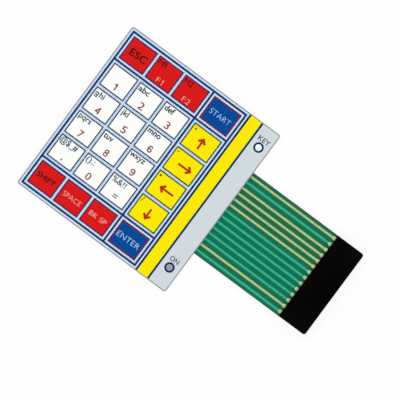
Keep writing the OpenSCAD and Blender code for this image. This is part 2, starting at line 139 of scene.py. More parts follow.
# Where the table is seen, most of its white is its own, so the keypad's shadow on it is faint
table_size = 4.0
table_drop = 0.02 * mm
table_own_white = 0.85
bpy.ops.mesh.primitive_plane_add(size=table_size, location=(0, 0, -table_drop))
table = bpy.context.object
table.name = "table_top"
table_finish, tree, shader = new_finish("table_white", 0.1)
shader.inputs["Roughness"].default_value = 0.8
table_speckle = add_node(tree, "ShaderNodeTexNoise", Scale=40.0, Detail=2.0)
table_white = add_node(tree, "ShaderNodeMix")
table_white.data_type = "RGBA"
table_white.inputs["A"].default_value = printed_colour(253, 253, 253)
table_white.inputs["B"].default_value = printed_colour(255, 255, 255)
tree.links.new(table_speckle.outputs["Fac"], table_white.inputs["Factor"])
tree.links.new(table_white.outputs["Result"], shader.inputs["Base Color"])
rays = add_node(tree, "ShaderNodeLightPath").outputs
seen = calculate(tree, "MAXIMUM", rays["Is Camera Ray"], rays["Is Glossy Ray"])
seen = calculate(tree, "MAXIMUM", seen, rays["Is Transmission Ray"])
plain_white = add_node(tree, "ShaderNodeEmission", Strength=1.0)
table_mix = add_node(tree, "ShaderNodeMixShader")
tree.links.new(calculate(tree, "MULTIPLY", seen, table_own_white), table_mix.inputs[0])
tree.links.new(shader.outputs[0], table_mix.inputs[1])
tree.links.new(plain_white.outputs[0], table_mix.inputs[2])
tree.links.new(table_mix.outputs[0], tree.nodes["Material Output"].inputs["Surface"])
wear(table, table_finish)

# Release liner
# Silicone-coated paper under the whole panel, cream white with short pressed fibres. It is peeled off
# before the panel is stuck down, and until then it carries the rear adhesive.


def fine_grain_group():
    """The slow mottle and the fine grain that films, papers, inks and moulded faces all show."""
    group = bpy.data.node_groups.new("fine_grain", "ShaderNodeTree")
    group.interface.new_socket("Colour", in_out="INPUT", socket_type="NodeSocketColor")
    for name in ("Mottle", "Mottle Scale", "Grain Scale", "Roughness", "Roughness Swing"):
        group.interface.new_socket(name, in_out="INPUT", socket_type="NodeSocketFloat")
    group.interface.new_socket("Colour", in_out="OUTPUT", socket_type="NodeSocketColor")
    group.interface.new_socket("Roughness", in_out="OUTPUT", socket_type="NodeSocketFloat")
    group.interface.new_socket("Height", in_out="OUTPUT", socket_type="NodeSocketFloat")
    given = add_node(group, "NodeGroupInput").outputs
    made = add_node(group, "NodeGroupOutput").inputs
    place = add_node(group, "ShaderNodeTexCoord")
    mottle = add_node(group, "ShaderNodeTexNoise", Detail=3.0)
    grain = add_node(group, "ShaderNodeTexNoise", Detail=2.0)
    for noise, scale in ((mottle, "Mottle Scale"), (grain, "Grain Scale")):
        group.links.new(place.outputs["Object"], noise.inputs["Vector"])
        group.links.new(given[scale], noise.inputs["Scale"])
    swing = calculate(group, "SUBTRACT", mottle.outputs["Fac"], 0.5)
    shade = calculate(group, "MULTIPLY_ADD", swing, given["Mottle"], 1.0)
    tint = add_node(group, "ShaderNodeVectorMath")
    tint.operation = "SCALE"
    group.links.new(given["Colour"], tint.inputs[0])
    group.links.new(shade, tint.inputs["Scale"])
    grain_swing = calculate(group, "SUBTRACT", grain.outputs["Fac"], 0.5)
    rough = calculate(group, "MULTIPLY_ADD", grain_swing, given["Roughness Swing"], given["Roughness"])
    group.links.new(tint.outputs["Vector"], made["Colour"])
    group.links.new(rough, made["Roughness"])
    group.links.new(grain.outputs["Fac"], made["Height"])
    return group


fine_grain = fine_grain_group()


def grained_finish(name, colour, specular=0.2, bump=0.3, grain_depth=0.006 * mm, **grain_values):
    """A finish whose colour, gloss and surface all carry the fine grain."""
    finish, tree, shader = new_finish(name, specular)
    grain = tree.nodes.new("ShaderNodeGroup")
    grain.node_tree = fine_grain
    grain.inputs["Colour"].default_value = printed_colour(*colour)
    for socket, value in grain_values.items():
        grain.inputs[socket.replace("_", " ")].default_value = value
    relief = add_node(tree, "ShaderNodeBump", Strength=bump, Distance=grain_depth)
    tree.links.new(grain.outputs["Colour"], shader.inputs["Base Color"])
    tree.links.new(grain.outputs["Roughness"], shader.inputs["Roughness"])
    tree.links.new(grain.outputs["Height"], relief.inputs["Height"])
    tree.links.new(relief.outputs["Normal"], shader.inputs["Normal"])
    return finish, tree, shader


def stretched_noise(tree, scale, stretch, detail=3.0):
    """Noise drawn out along one or more axes, for fibres and rolling marks."""
    place = add_node(tree, "ShaderNodeTexCoord")
    turn = add_node(tree, "ShaderNodeMapping", Scale=stretch)
    noise = add_node(tree, "ShaderNodeTexNoise", Scale=scale, Detail=detail)
    tree.links.new(place.outputs["Object"], turn.inputs["Vector"])
    tree.links.new(turn.outputs["Vector"], noise.inputs["Vector"])
    return noise.outputs["Fac"]


def fade(tree, value, start, end, most=1.0):
    """A mask that grows from 0 where the value is start to its most where it is end."""
    ramp = add_node(tree, "ShaderNodeMapRange", From_Min=start, From_Max=end, To_Max=most)
    tree.links.new(value, ramp.inputs["Value"])
    return ramp.outputs["Result"]


def lay_over(tree, shader, mask, colour):
    """Lays a second colour over the shader's base colour where the mask is 1."""
    base = shader.inputs["Base Color"].links[0].from_socket
    over = add_node(tree, "ShaderNodeMix")
    over.data_type = "RGBA"
    over.inputs["B"].default_value = printed_colour(*colour)
    tree.links.new(mask, over.inputs["Factor"])
    tree.links.new(base, over.inputs["A"])
    tree.links.new(over.outputs["Result"], shader.inputs["Base Color"])


liner_finish, tree, shader = grained_finish(
    "liner_paper", (238, 235, 222),
    Mottle=0.05, Mottle_Scale=120.0, Grain_Scale=5000.0, Roughness=0.55, Roughness_Swing=0.2,
)
fibres = stretched_noise(tree, 2500.0, (1.0, 0.15, 1.0))
lay_over(tree, shader, fade(tree, fibres, 0.56, 0.75, most=0.5), (214, 208, 190))
wear(cad["release_liner"], liner_finish)

# Rear adhesive
# A clear acrylic film, tacky on both sides, laminated to the back of the circuit. Only its edge shows,
# a pale line between the paper and the green film.
adhesive_finish, tree, shader = grained_finish(
    "adhesive_film", (226, 224, 204), specular=0.5,
    Mottle=0.06, Mottle_Scale=400.0, Grain_Scale=3000.0, Roughness=0.3, Roughness_Swing=0.2,
)
shader.inputs["Coat Weight"].default_value = 0.3
wear(cad["rear_adhesive"], adhesive_finish)

# Flexible circuit
# One polyester film under a green solder coat, punched out with its tail. The coat thins along the cut
# edges of the tail and looks browner round the lines that it leaves bare, and slow waves of thickness
# run through it.
tail_middle_y = 0.5 * mm
tail_half_w = 18.2 * mm
dark_margin = 0.75 * mm
line_count = 14
line_pitch = 2.54 * mm
coat_finish, tree, shader = grained_finish(
    "green_coat", (4, 117, 85), specular=0.12,
    Mottle=0.22, Mottle_Scale=350.0, Grain_Scale=6000.0, Roughness=0.42, Roughness_Swing=0.15,
)


def place_along(tree, axis):
    """Where a point of the surface lies along X, Y or Z."""
    place = add_node(tree, "ShaderNodeTexCoord")
    axes = add_node(tree, "ShaderNodeSeparateXYZ")
    tree.links.new(place.outputs["Object"], axes.inputs[0])
    return axes.outputs[axis]


def near_bare_lines(tree):
    """A mask that is 1 round the bare lines 1, 3 to 6 and 13, and ends halfway to the coated ones."""
    middle_line = (line_count + 1) / 2
    line_from_middle = calculate(tree, "SUBTRACT", tail_middle_y, place_along(tree, "Y"))
    line_number = calculate(tree, "MULTIPLY_ADD", line_from_middle, 1 / line_pitch, middle_line)
    soft = 0.15
    near = 0.0
    for middle, reach in ((1, 0.5), (4.5, 2.0), (13, 0.5)):
        away = calculate(tree, "ABSOLUTE", calculate(tree, "SUBTRACT", line_number, middle))
        near = calculate(tree, "MAXIMUM", near, fade(tree, away, reach + soft, reach - soft))
    return near


facing = add_node(tree, "ShaderNodeTexCoord")
facing_up = add_node(tree, "ShaderNodeSeparateXYZ")
tree.links.new(facing.outputs["Normal"], facing_up.inputs[0])
least_up = 0.5
on_top = calculate(tree, "GREATER_THAN", facing_up.outputs["Z"], least_up)
lay_over(tree, shader, calculate(tree, "MULTIPLY", near_bare_lines(tree), on_top), (27, 108, 73))
from_middle = calculate(tree, "SUBTRACT", place_along(tree, "Y"), tail_middle_y)
out_from_middle = calculate(tree, "ABSOLUTE", from_middle)
margin = fade(tree, out_from_middle, tail_half_w - dark_margin, tail_half_w - dark_margin / 3, most=0.75)
lay_over(tree, shader, margin, (44, 84, 64))
shader.inputs["Coat Weight"].default_value = 0.05
shader.inputs["Coat Roughness"].default_value = 0.2
wear(cad["flex_circuit"], coat_finish)

# Conductors
# The row lines are bare, with a pale tin plating that shows faint rolling marks along the tail. The column
# and lamp lines lie under the green coat, which turns them a lighter green.
plated_finish, tree, shader = grained_finish(
    "pale_plating", (181, 206, 141), specular=0.4,
    Mottle=0.12, Mottle_Scale=300.0, Grain_Scale=9000.0, Roughness=0.4, Roughness_Swing=0.2,
)
rolling = stretched_noise(tree, 6000.0, (0.02, 1.0, 1.0))
lay_over(tree, shader, fade(tree, rolling, 0.5, 0.8, most=0.35), (226, 230, 190))
shader.inputs["Metallic"].default_value = 0.15
wear(cad["row_conductors"], plated_finish)

coated_line_finish, tree, shader = grained_finish(
    "coated_line", (60, 173, 139), specular=0.12,
    Mottle=0.14, Mottle_Scale=300.0, Grain_Scale=6000.0, Roughness=0.42, Roughness_Swing=0.15,
)
shader.inputs["Coat Weight"].default_value = 0.05
shader.inputs["Coat Roughness"].default_value = 0.2
wear(cad["column_conductors"], coated_line_finish)
wear(cad["lamp_conductors"], coated_line_finish)

# Dome spacer and dome retainer
# A milky polyester spacer with a pocket for each dome, and a thin clear film over it that holds the domes
# down. Both show only as lines in the edge of the laminate.
spacer_finish, tree, shader = grained_finish(
    "milky_film", (220, 223, 224), specular=0.4,
    Mottle=0.05, Mottle_Scale=250.0, Grain_Scale=4000.0, Roughness=0.45, Roughness_Swing=0.15,
)
shader.inputs["Subsurface Weight"].default_value = 0.15
shader.inputs["Subsurface Radius"].default_value = (0.3 * mm, 0.3 * mm, 0.3 * mm)
wear(cad["dome_spacer"], spacer_finish)

retainer_finish, tree, shader = grained_finish(
    "clear_film", (222, 222, 208), specular=0.5,
    Mottle=0.05, Mottle_Scale=250.0, Grain_Scale=4000.0, Roughness=0.25, Roughness_Swing=0.15,
)
shader.inputs["Coat Weight"].default_value = 0.4
wear(cad["dome_retainer"], retainer_finish)

# Snap domes
# Sprung steel discs with four feet, stamped from rolled strip, one loose in each pocket of the spacer. The
# strip leaves fine parallel marks across every dome.
dome_finish, tree, shader = grained_finish(
    "spring_steel", (192, 194, 198), specular=0.5,
    Mottle=0.08, Mottle_Scale=500.0, Grain_Scale=9000.0, Roughness=0.3, Roughness_Swing=0.2,
)
strip_marks = stretched_noise(tree, 8000.0, (1.0, 0.03, 1.0))
lay_over(tree, shader, fade(tree, strip_marks, 0.5, 0.8, most=0.4), (150, 152, 158))
shader.inputs["Metallic"].default_value = 1.0
wear(cad["snap_domes"], dome_finish)

# Lamps
# Two surface-mount lamps on the circuit under their windows: a white ceramic base, soldered to its two
# pads, with a block of clear resin cast on it.
ceramic_finish = grained_finish(
    "lamp_ceramic", (238, 238, 230), specular=0.4,
    Mottle=0.05, Mottle_Scale=2000.0, Grain_Scale=20000.0, Roughness=0.5, Roughness_Swing=0.2,
)[0]
wear(cad["lamp_bases"], ceramic_finish)

resin_finish, tree, shader = grained_finish(
    "lamp_resin", (250, 250, 250), specular=0.5,
    Mottle=0.03, Mottle_Scale=2000.0, Grain_Scale=20000.0, Roughness=0.12, Roughness_Swing=0.1,
)
shader.inputs["Transmission Weight"].default_value = 0.8
wear(cad["lamp_lenses"], resin_finish)

# Graphic overlay
# One polyester film over the whole panel, pale blue, with a fine matt texture. Each key is embossed in it
# as a low plateau with sloping sides, pushed up from behind so that the film keeps its thickness.
film_thickness = 0.25 * mm
corner_radius = 1.0 * mm
emboss_slope = 0.2 * mm
emboss_round = 0.06 * mm
key_w = 10.85 * mm
wide_key_w = 12.25 * mm
key_h = 9.8 * mm
key_gap = 0.85 * mm
group_gap = 2.17 * mm
edge_to_keys = 2.54 * mm
film_low, film_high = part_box("graphic_overlay")
film_top = film_low.z + film_thickness
emboss_height = film_high.z - film_top

column_widths = [key_w, key_w, key_w, wide_key_w]
column_gaps = [0, key_gap, key_gap, group_gap]
row_gaps = [0, group_gap, key_gap, key_gap, key_gap, group_gap]
key_xs = [
    film_low.x + edge_to_keys + sum(column_widths[:c]) + sum(column_gaps[: c + 1]) + column_widths[c] / 2
    for c in range(len(column_widths))
]
key_ys = [
    film_high.y - edge_to_keys - r * key_h - sum(row_gaps[: r + 1]) - key_h / 2
    for r in range(len(row_gaps))
]


def start_block(name, low, high):
    """A box between two corners, left in edit mode with nothing selected."""
    bpy.ops.object.select_all(action="DESELECT")
    middle = (Vector(low) + Vector(high)) / 2
    bpy.ops.mesh.primitive_cube_add(size=1, location=middle, scale=Vector(high) - Vector(low))
    block = bpy.context.object
    block.name = name
    block.data.name = name
    bpy.ops.object.transform_apply(location=True, rotation=True, scale=True)
    bpy.ops.object.mode_set(mode="EDIT")
    bpy.ops.mesh.select_mode(type="EDGE")
    bpy.ops.mesh.select_all(action="DESELECT")
    return block


def select_edges(block, wanted):
    """Selects the edges whose two ends, as vectors, satisfy wanted."""
    bpy.ops.mesh.select_mode(type="EDGE")
    bpy.ops.mesh.select_all(action="DESELECT")
    bpy.ops.object.mode_set(mode="OBJECT")
    points = block.data.vertices
    for edge in block.data.edges:
        a, b = (points[i].co for i in edge.vertices)
        edge.select = bool(wanted(a, b))
    bpy.ops.object.mode_set(mode="EDIT")


def select_faces(block, wanted):
    """Selects the faces whose middle and normal satisfy wanted."""
    bpy.ops.mesh.select_mode(type="FACE")
    bpy.ops.mesh.select_all(action="DESELECT")
    bpy.ops.object.mode_set(mode="OBJECT")
    for face in block.data.polygons:
        face.select = bool(wanted(face.center, face.normal))
    bpy.ops.object.mode_set(mode="EDIT")


same_place = 0.001 * mm


def upright(a, b):
    """True for an edge that runs along Z."""
    return abs(a.x - b.x) < same_place and abs(a.y - b.y) < same_place


def level_with(a, b, z):
    """True for an edge that lies flat at the height z."""
    return abs(a.z - z) < same_place and abs(b.z - z) < same_place


overlay = start_block("overlay_film", film_low, (film_high.x, film_high.y, film_top))
select_edges(overlay, upright)
bpy.ops.mesh.bevel(offset=corner_radius, segments=6, affect="EDGES")
for key_x, width in zip(key_xs, column_widths):
    for side in (-1, 1):
        bpy.ops.mesh.select_all(action="SELECT")
        cut_x = key_x + side * (width / 2 + emboss_slope)
        bpy.ops.mesh.bisect(plane_co=(cut_x, 0, 0), plane_no=(1, 0, 0))
for key_y in key_ys:
    for side in (-1, 1):
        bpy.ops.mesh.select_all(action="SELECT")
        cut_y = key_y + side * (key_h / 2 + emboss_slope)
        bpy.ops.mesh.bisect(plane_co=(0, cut_y, 0), plane_no=(0, 1, 0))


def over_a_key(middle):
    """True where a point of the film lies in the area of a key."""
    in_column = any(abs(middle.x - x) < w / 2 for x, w in zip(key_xs, column_widths))
    return in_column and any(abs(middle.y - y) < key_h / 2 for y in key_ys)


select_faces(overlay, lambda middle, normal: normal.z > 0.9 and over_a_key(middle))
bpy.ops.mesh.inset(thickness=emboss_slope, depth=emboss_height, use_individual=True)
select_faces(overlay, lambda middle, normal: normal.z < -0.9 and over_a_key(middle))
bpy.ops.mesh.inset(thickness=emboss_slope, depth=-emboss_height, use_individual=True)
select_edges(overlay, lambda a, b: level_with(a, b, film_high.z))
bpy.ops.mesh.bevel(offset=emboss_round, segments=3, affect="EDGES")
bpy.ops.object.mode_set(mode="OBJECT")
bpy.ops.object.shade_smooth_by_angle(angle=math.radians(25))

film_finish = grained_finish(
    "pale_blue_film", (210, 227, 246),
    Mottle=0.02, Mottle_Scale=160.0, Grain_Scale=7000.0, Roughness=0.36, Roughness_Swing=0.2,
)[0]
wear(overlay, film_finish)
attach(overlay, "root")
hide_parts("graphic_overlay")

# Printed fields
# Screen-printed inks on the film, one pass for each colour: the key faces and their outlines on the
# plateaus, and the frame lines, stripe, lamp strip, rings, windows and border on the flat. Each ink keeps
# the film's fine texture.


def ink_finish(name, colour):
    """A screen-printed ink: even, with a slight mottle from the mesh and the film's texture in it."""
    return grained_finish(
        name, colour, specular=0.1,
        Mottle=0.03, Mottle_Scale=220.0, Grain_Scale=7000.0, Roughness=0.36, Roughness_Swing=0.2,
    )[0]


ink_colours = {
    "white": (254, 254, 253),
    "red": (217, 25, 25),
    "yellow": (252, 234, 2),
    "blue": (3, 73, 152),
    "slate": (32, 70, 104),
    "maroon": (122, 0, 28),
    "navy": (2, 55, 110),
    "dark": (2, 48, 94),
    "grey": (210, 220, 225),
    "ring": (4, 38, 92),
    "clear_window": (240, 252, 254),
    "smoky_window": (156, 158, 166),
    "border": (140, 146, 148),
}
inks = {name: ink_finish(f"{name}_ink", colour) for name, colour in ink_colours.items()}
printed_fields = {
    "white_key_print": "white",
    "red_key_print": "red",
    "yellow_key_print": "yellow",
    "blue_key_print": "blue",
    "key_outline_print": "slate",
    "blue_key_outline_print": "maroon",
    "frame_print": "navy",
    "stripe_print": "yellow",
    "stripe_line_print": "dark",
    "lamp_strip_print": "grey",
    "lamp_ring_print": "ring",
    "key_window_print": "clear_window",
    "on_window_print": "smoky_window",
    "border_print": "border",
}
for field, ink in printed_fields.items():
    wear(cad[field], inks[ink])

# The slate outlines overlap the key inks, which tint them green on the yellow keys and violet on the red
tree = inks["slate"].node_tree
shader = tree.nodes["Principled BSDF"]
yellow_from_x = (key_xs[2] + key_w / 2 + key_xs[3] - wide_key_w / 2) / 2
red_from_y = (key_ys[0] + key_ys[1]) / 2
on_yellow = calculate(tree, "GREATER_THAN", place_along(tree, "X"), yellow_from_x)
lay_over(tree, shader, on_yellow, (42, 76, 62))
on_red = calculate(tree, "GREATER_THAN", calculate(tree, "ABSOLUTE", place_along(tree, "Y")), red_from_y)
lay_over(tree, shader, on_red, (52, 34, 86))

# Legends
# Words, numbers and signs, printed last in thin inks on the key faces and beside the lamps. Plain sans
# letters, dark on the pale fields, black or white on the strong ones, and arrows in straight strokes.
legend_depth = 0.02 * mm
key_ink_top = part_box("white_key_print")[1].z
strip_ink_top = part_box("lamp_strip_print")[1].z
capital_share = 0.682


def lettering(words, capital, width, weight=0.0):
    """Raised letters of that capital height, drawn out to that width, with strokes grown by weight."""
    bpy.ops.object.select_all(action="DESELECT")
    bpy.ops.object.text_add()
    text = bpy.context.object.data
    text.body = words
    text.extrude = 0.5
    text.offset = weight
    text.resolution_u = 4
    bpy.ops.object.convert(target="MESH")
    letters = bpy.context.object
    bpy.ops.object.mode_set(mode="EDIT")
    bpy.ops.mesh.select_all(action="SELECT")
    bpy.ops.mesh.remove_doubles(threshold=1e-5)
    bpy.ops.mesh.normals_make_consistent(inside=False)
    bpy.ops.object.mode_set(mode="OBJECT")
    letters.scale = (width / letters.dimensions.x, capital / capital_share, legend_depth)
    bpy.ops.object.transform_apply(location=True, rotation=True, scale=True)
    return letters


def stroke(start, end, thickness):
    """One straight stroke of ink between two points."""
    start, end = Vector((*start[:2], 0)), Vector((*end[:2], 0))
    along = end - start
    bpy.ops.object.select_all(action="DESELECT")
    bpy.ops.mesh.primitive_cube_add(
        size=1, location=(start + end) / 2, rotation=(0, 0, math.atan2(along.y, along.x)),
        scale=(along.length, thickness, legend_depth),
    )
    bpy.ops.object.transform_apply(location=True, rotation=True, scale=True)
    return bpy.context.object


def combine(sign, other, operation):
    """Melts another print into a sign, or cuts it out of the sign."""
    change = sign.modifiers.new("change", "BOOLEAN")
    change.operation = operation
    change.object = other
    bpy.context.view_layer.objects.active = sign
    bpy.ops.object.modifier_apply(modifier=change.name)
    bpy.data.objects.remove(other)


def drawn_sign(strokes):
    """A sign drawn with straight strokes that melt into one outline."""
    sign, *others = [stroke(*ends) for ends in strokes]
    for other in others:
        combine(sign, other, "UNION")
    return sign


def ring(width, height, thickness, y):
    """A flat oval ring of ink whose middle is at that height."""
    bpy.ops.object.select_all(action="DESELECT")
    bpy.ops.mesh.primitive_circle_add(vertices=32, radius=0.5, fill_type="NGON")
    oval = bpy.context.object
    oval.scale = (width, height, 1)
    oval.location = (0, y, -legend_depth / 2)
    bpy.ops.object.transform_apply(location=True, rotation=True, scale=True)
    bpy.ops.object.mode_set(mode="EDIT")
    bpy.ops.mesh.select_mode(type="FACE")
    bpy.ops.mesh.select_all(action="SELECT")
    bpy.ops.mesh.inset(thickness=thickness)
    bpy.ops.mesh.delete(type="FACE")
    bpy.ops.mesh.select_all(action="SELECT")
    bpy.ops.mesh.extrude_region_move(TRANSFORM_OT_translate={"value": (0, 0, legend_depth)})
    bpy.ops.mesh.select_all(action="SELECT")
    bpy.ops.mesh.normals_make_consistent(inside=False)
    bpy.ops.object.mode_set(mode="OBJECT")
    return oval


def figure_one(capital, thickness):
    """The figure 1: a stem with a flag that slants down to the left from its top."""
    flag_reach = 0.25 * capital
    flag_x = -0.1 * thickness
    flag_y = capital - 0.354 * thickness
    flag_end = (flag_x - flag_reach, flag_y - flag_reach)
    return drawn_sign([((0, 0), (0, capital), thickness), ((flag_x, flag_y), flag_end, thickness)])


def figure_four(capital, thickness):
    """The figure 4: a stem, a bar low across it, and a slant from the bar's left end to the stem's top."""
    stem_x = 0.15 * capital
    bar_y = 0.28 * capital
    bar_left = -0.37 * capital
    bar_right = 0.33 * capital
    slant_start = (bar_left + 0.5 * thickness, bar_y)
    slant_end = (stem_x, capital - 0.6 * thickness)
    return drawn_sign([
        ((stem_x, 0), (stem_x, capital), thickness),
        ((bar_left, bar_y), (bar_right, bar_y), thickness),
        (slant_start, slant_end, thickness),
    ])


def figure_six(capital, thickness):
    """The figure 6: a tall oval, cut open at its right side, with a bowl in its lower part."""
    # The cut and the bowl stay a hair clear of the oval's corners, so that they melt the same way each time
    width = 0.7 * capital
    bowl_h = 0.62 * capital
    open_to = 0.22 * capital
    open_from_x = 0.03 * capital
    bowl_drop = 0.004 * capital
    six = ring(width, capital, thickness, 0)
    opening_h = open_to + capital
    opening_y = open_to - opening_h / 2
    opening = stroke((open_from_x, opening_y), (capital, opening_y), opening_h)
    opening.scale.z = 2
    combine(six, opening, "DIFFERENCE")
    combine(six, ring(width, bowl_h, thickness, (bowl_h - capital) / 2 - bowl_drop), "UNION")
    return six


def settle(piece):
    """Takes a print's place, turn and scale into its mesh."""
    bpy.ops.object.select_all(action="DESELECT")
    piece.select_set(True)
    bpy.context.view_layer.objects.active = piece
    bpy.ops.object.transform_apply(location=True, rotation=True, scale=True)


def figure_nine(capital, thickness):
    """The figure 9: a 6 turned round."""
    nine = figure_six(capital, thickness)
    nine.rotation_euler.z = math.pi
    settle(nine)
    return nine


def small_g(x_height, thickness):
    """The letter g with one bowl: an oval, a stem down its right side, and a hook open to the left."""
    width = 0.92 * x_height
    hook_h = 0.8 * x_height
    hook_y = -0.1 * x_height
    hook_overlap = 0.02 * x_height
    stem_inset = 0.004 * x_height
    stem_x = (width - thickness) / 2 - stem_inset
    small = ring(width, x_height, thickness, x_height / 2)
    combine(small, stroke((stem_x, x_height), (stem_x, hook_y), thickness), "UNION")
    hook = ring(width, hook_h, thickness, hook_y)
    upper_y = hook_y + hook_overlap + hook_h / 2
    upper_half = stroke((-width, upper_y), (width, upper_y), hook_h)
    upper_half.scale.z = 2
    combine(hook, upper_half, "DIFFERENCE")
    combine(small, hook, "UNION")
    return small


def put(piece, ink_top, middle=None, left=None, top=None):
    """Moves a print onto an ink, by the middle of its outline or by its left and top edges."""
    xs, ys, zs = zip(*(point.co for point in piece.data.vertices))
    x = middle[0] - (min(xs) + max(xs)) / 2 if middle else left - min(xs)
    y = middle[1] - (min(ys) + max(ys)) / 2 if middle else top - max(ys)
    piece.location = (x, y, ink_top - min(zs))
    settle(piece)
    return piece


def join(pieces):
    """Joins pieces into the first of them."""
    bpy.ops.object.select_all(action="DESELECT")
    for piece in pieces:
        piece.select_set(True)
    bpy.context.view_layer.objects.active = pieces[0]
    bpy.ops.object.join()
    return pieces[0]


def print_legend(name, pieces, ink):
    """Joins the prints of one ink into one legend of the overlay."""
    legend = join(pieces)
    legend.name = name
    legend.data.name = name
    wear(legend, ink)
    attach(legend, "root")


# Numbers and marks, low on the white keys: the key, the figure, its size and how far right of the middle it
# stands. Straight figures are drawn in strokes of the width given, 6 and 9 from ovals, and the rest are
# letters of the width and weight given
number_capital = 2.7 * mm
number_drop = 2.16 * mm
drawn_numbers = [
    (0, 1, figure_one, 0.46, 0.0),
    (0, 2, figure_four, 0.42, 0.07),
    (2, 2, figure_six, 0.44, 0.27),
    (2, 3, figure_nine, 0.42, 0.12),
]
lettered_numbers = [
    (1, 1, "2", 2.1, 0.005, 0.13),
    (2, 1, "3", 1.9, 0.005, 0.16),
    (1, 2, "5", 1.92, 0.005, 0.13),
    (0, 3, "7", 1.8, 0.008, 0.14),
    (1, 3, "8", 1.83, 0.007, 0.03),
    (1, 4, "0", 1.87, 0.008, -0.13),
]
number_prints = []
for column, row, figure, thickness, across in drawn_numbers:
    middle = (key_xs[column] + across * mm, key_ys[row] - number_drop)
    number_prints.append(put(figure(number_capital, thickness * mm), key_ink_top, middle=middle))
for column, row, figure, width, weight, across in lettered_numbers:
    number = lettering(figure, number_capital, width * mm, weight)
    middle = (key_xs[column] + across * mm, key_ys[row] - number_drop)
    number_prints.append(put(number, key_ink_top, middle=middle))
equals_across = 0.2 * mm
equals_drop = 2.14 * mm
equals_w = 1.8 * mm
equals_stroke = 0.385 * mm
equals_pitch = 0.85 * mm
for side in (-1, 1):
    bar = stroke((0, 0), (equals_w, 0), equals_stroke)
    middle = (key_xs[2] + equals_across, key_ys[4] - equals_drop + side * equals_pitch / 2)
    number_prints.append(put(bar, key_ink_top, middle=middle))
point_drop = 3.14 * mm
point_capital = 4.0 * mm
point_w = 0.6 * mm
point = lettering(".", point_capital, point_w)
number_prints.append(put(point, key_ink_top, middle=(key_xs[0], key_ys[4] - point_drop)))
print_legend("legend_numbers", number_prints, ink_finish("brown_ink", (130, 22, 24)))

# Small letters and signs, in the upper left corners of the white keys: the key, the letters, their width
# and weight, and how far their left and top edges lie from the key's corner
letter_capital = 2.15 * mm
letter_groups = [
    (1, 1, "abc", 4.6, 0.02, 0.89, 0.74),
    (2, 1, "def", 4.05, 0.023, 0.95, 0.72),
    (0, 2, "hi", 2.05, 0.02, 2.68, 0.79),
    (1, 2, "jkl", 2.9, 0.016, 0.96, 0.76),
    (2, 2, "mno", 5.4, 0.026, 0.93, 0.88),
    (0, 3, "pqrs", 5.28, 0.017, 0.95, 0.91),
    (1, 3, "tuv", 3.9, 0.022, 0.83, 0.95),
    (2, 3, "wxyz", 6.45, 0.018, 0.69, 0.94),
    (0, 4, "@$_#", 7.45, 0.016, 0.66, 0.46),
    (1, 4, "().:", 3.55, 0.01, 0.91, 0.7),
    (2, 4, "%&!!", 5.85, 0.011, 0.96, 0.79),
]
letter_prints = []
for column, row, letters, width, weight, across, down in letter_groups:
    letter_print = lettering(letters, letter_capital, width * mm, weight)
    left = key_xs[column] - key_w / 2 + across * mm
    top = key_ys[row] + key_h / 2 - down * mm
    letter_prints.append(put(letter_print, key_ink_top, left=left, top=top))
g_across = 0.9 * mm
g_down = 1.5 * mm
g_x_height = 1.46 * mm
g_stroke = 0.38 * mm
g_left = key_xs[0] - key_w / 2 + g_across
g_top = key_ys[2] + key_h / 2 - g_down
letter_prints.append(put(small_g(g_x_height, g_stroke), key_ink_top, left=g_left, top=g_top))
print_legend("legend_letters", letter_prints, ink_finish("letter_ink", (3, 59, 85)))

# Signs in the same corners of the yellow keys: plus, minus, times and divide, each with its stroke, and
# with the ends of its strokes across and down from the key's corner
corner_x = key_xs[3] - wide_key_w / 2
star_x, star_y, star_reach = 1.45, 1.65, 0.47
star_ends = []
for angle in (30, 90, 150):
    reach_x = star_reach * math.cos(math.radians(angle))
    reach_y = star_reach * math.sin(math.radians(angle))
    star_ends.append((star_x - reach_x, star_y - reach_y, star_x + reach_x, star_y + reach_y))
corner_signs = [
    (1, 0.29, [(1.15, 1.79, 2.12, 1.79), (1.635, 1.3, 1.635, 2.28)]),
    (2, 0.32, [(1.0, 1.51, 1.78, 1.51)]),
    (3, 0.25, star_ends),
    (4, 0.24, [(1.71, 0.77, 0.96, 2.94)]),
]
sign_prints = []
for row, thickness, ends in corner_signs:
    corner_y = key_ys[row] + key_h / 2
    strokes = []
    for x0, y0, x1, y1 in ends:
        start = (corner_x + x0 * mm, corner_y - y0 * mm)
        end = (corner_x + x1 * mm, corner_y - y1 * mm)
        strokes.append((start, end, thickness * mm))
    sign = drawn_sign(strokes)
    sign.location.z = key_ink_top + legend_depth / 2
    settle(sign)
    sign_prints.append(sign)
print_legend("legend_signs", sign_prints, ink_finish("sign_ink", (34, 38, 2)))

# Arrows on the yellow keys: the row, the way it points, its middle from the key's middle, and its length
arrow_stem = 0.77 * mm
arrow_head = 0.88 * mm
arrow_head_l = 2.42 * mm
arrows = [
    (1, (0, 1), (0.26, -0.22), 4.65),
    (2, (1, 0), (0.86, -0.23), 5.95),
    (3, (-1, 0), (0.4, -0.24), 6.05),
    (4, (0, -1), (0.01, -0.38), 4.65),
]


def arrow(way, length):
    """An arrow with an open head: a stem, and two slanting strokes that meet at its tip at the origin."""
    way = Vector((*way, 0))
    side = Vector((-way.y, way.x, 0))
    strokes = [(-way * length, -way * arrow_head, arrow_stem)]
    for turn in (-1, 1):
        along = (side * turn - way).normalized()
        inwards = (-side * turn - way).normalized() * arrow_head / 2
        strokes.append((inwards, inwards + along * arrow_head_l, arrow_head))
    return drawn_sign(strokes)


arrow_prints = []
for row, way, place, length in arrows:
    middle = (key_xs[3] + place[0] * mm, key_ys[row] + place[1] * mm)
    arrow_prints.append(put(arrow(way, length * mm), key_ink_top, middle=middle))
print_legend("legend_arrows", arrow_prints, ink_finish("arrow_ink", (184, 44, 20)))

